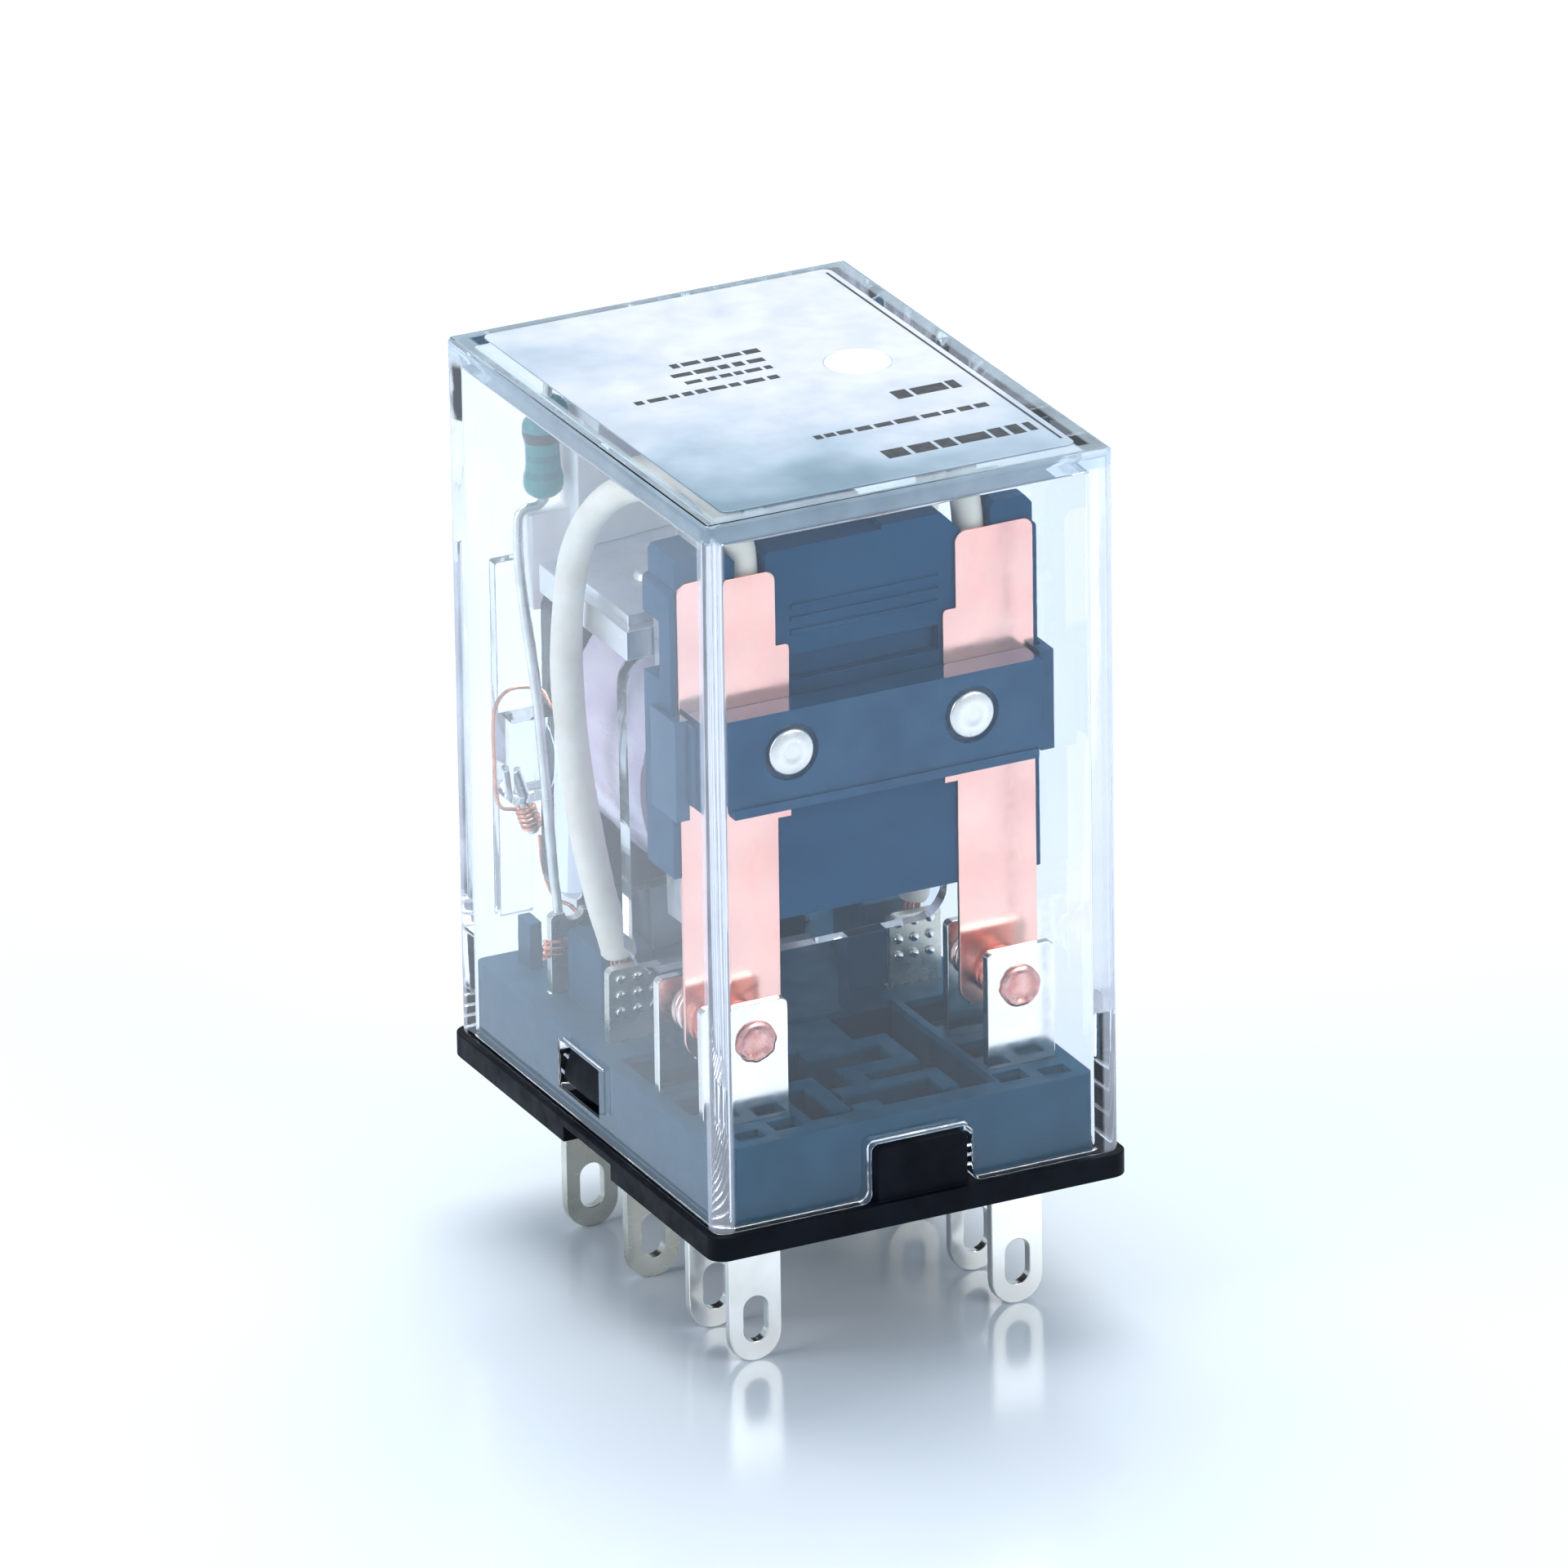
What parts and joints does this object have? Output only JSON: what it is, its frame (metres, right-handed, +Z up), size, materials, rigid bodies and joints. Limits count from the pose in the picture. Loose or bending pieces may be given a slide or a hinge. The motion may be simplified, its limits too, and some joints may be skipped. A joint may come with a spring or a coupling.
{
  "type": "plug in relay",
  "caption": "Miniature two-pole plug-in relay with a clear cover, blade terminals, horizontal coil, clapper armature and indicator lamp.",
  "frame": {"origin": "centre of the base rim's underside, the face that seats on a socket", "axes": "+Z up out of the socket through the cover, +X along the short side towards the right-hand pole, +Y along the long side from the contact end to the coil-terminal end"},
  "size_m": [0.0208, 0.0272, 0.0423],
  "materials": {
    "black_plastic": "satin moulded thermoplastic",
    "clear_cover": "clear polished polycarbonate",
    "label": "silver-white printed film",
    "terminal_metal": "bright tinned brass",
    "contact_metal": "copper-coloured silver alloy rivet",
    "spring_copper": "rolled phosphor bronze strip",
    "magnet_steel": "nickel-plated soft iron",
    "copper": "bare and enamelled copper",
    "clear_former": "natural translucent nylon",
    "coil_tape": "white polyester tape over the winding",
    "slate_plastic": "dark moulded insulator",
    "rivet_metal": "bright rivet heads",
    "spring_steel": "drawn spring wire",
    "lead_sleeve": "cream sleeved braided copper",
    "white_plastic": "white moulded plastic",
    "lamp_red": "tinted epoxy lens",
    "resistor_teal": "lacquered resistor body with colour bands",
    "tinned_wire": "tinned copper wire"
  },
  "bodies": {
    "frame": {"base": "black_plastic", "cover": "clear_cover", "label": "label", "nc_terminal_left": "terminal_metal", "nc_terminal_right": "terminal_metal", "no_terminal_left": "terminal_metal", "no_terminal_right": "terminal_metal", "common_terminal_left": "terminal_metal", "common_terminal_right": "terminal_metal", "coil_terminal_left": "terminal_metal", "coil_terminal_right": "terminal_metal", "nc_contacts": "contact_metal", "no_contacts": "contact_metal", "yoke": "magnet_steel", "core": "magnet_steel", "shading_ring": "copper", "bobbin": "clear_former", "coil_winding": "copper", "coil_tape": "coil_tape", "winding_pins": "tinned_wire", "winding_end_wires": "copper", "spring_anchor_plate": "magnet_steel", "anchor_rivets": "rivet_metal", "return_spring": "spring_steel", "flexible_lead_left": "lead_sleeve", "flexible_lead_right": "lead_sleeve", "indicator_holder": "white_plastic", "indicator_lamp": "lamp_red", "resistor_body": "resistor_teal", "resistor_leads": "tinned_wire", "lamp_lead": "tinned_wire"},
    "armature": {"armature_plate": "magnet_steel", "contact_carrier": "slate_plastic", "clamp_bar": "slate_plastic", "clamp_rivets": "rivet_metal", "contact_spring_left": "spring_copper", "contact_spring_right": "spring_copper", "moving_contacts": "contact_metal"}
  },
  "joints": [
    {"name": "armature_hinge", "type": "hinge", "parent": "frame", "child": "armature", "pos_m": [0, -0.0013, 0.025], "axis": [1, 0, 0], "range_deg": [0, 3.3], "stiffness_Nm_per_rad": 0.02, "springref_deg": -5.73, "deforming": ["return_spring", "flexible_lead_left", "flexible_lead_right"]}
  ]
}
